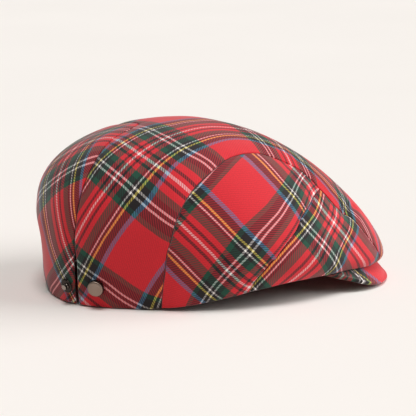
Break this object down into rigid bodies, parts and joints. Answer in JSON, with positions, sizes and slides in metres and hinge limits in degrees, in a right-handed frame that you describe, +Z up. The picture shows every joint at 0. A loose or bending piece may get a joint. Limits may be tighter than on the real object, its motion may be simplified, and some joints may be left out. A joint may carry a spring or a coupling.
{
  "type": "flat cap",
  "caption": "Soft flat cap of sewn tartan cloth panels drawn forward over a short stiff peak, with press-snap adjusters at the back and a hollow for the head.",
  "frame": {"origin": "centre of the cap's box, on the surface it rests on", "axes": "+X to the front, over the peak; +Y to the wearer's left; +Z up"},
  "size_m": [0.2772, 0.1878, 0.131],
  "materials": {
    "cloth": "twill tartan cloth, red ground with dark green, black, white, yellow and blue stripes",
    "peak_cloth": "the same twill tartan, stretched over a stiff board",
    "snap_cap": "satin gunmetal",
    "snap_stud": "dark gunmetal, worn bright on the post"
  },
  "bodies": {
    "root": {"top_panel": "cloth", "back_panel": "cloth", "side_panel_right": "cloth", "side_panel_left": "cloth", "front_panel_right": "cloth", "front_panel_left": "cloth", "peak": "peak_cloth", "snap_cap_right": "snap_cap", "snap_cap_left": "snap_cap", "snap_stud_right": "snap_stud", "snap_stud_left": "snap_stud"}
  },
  "joints": []
}
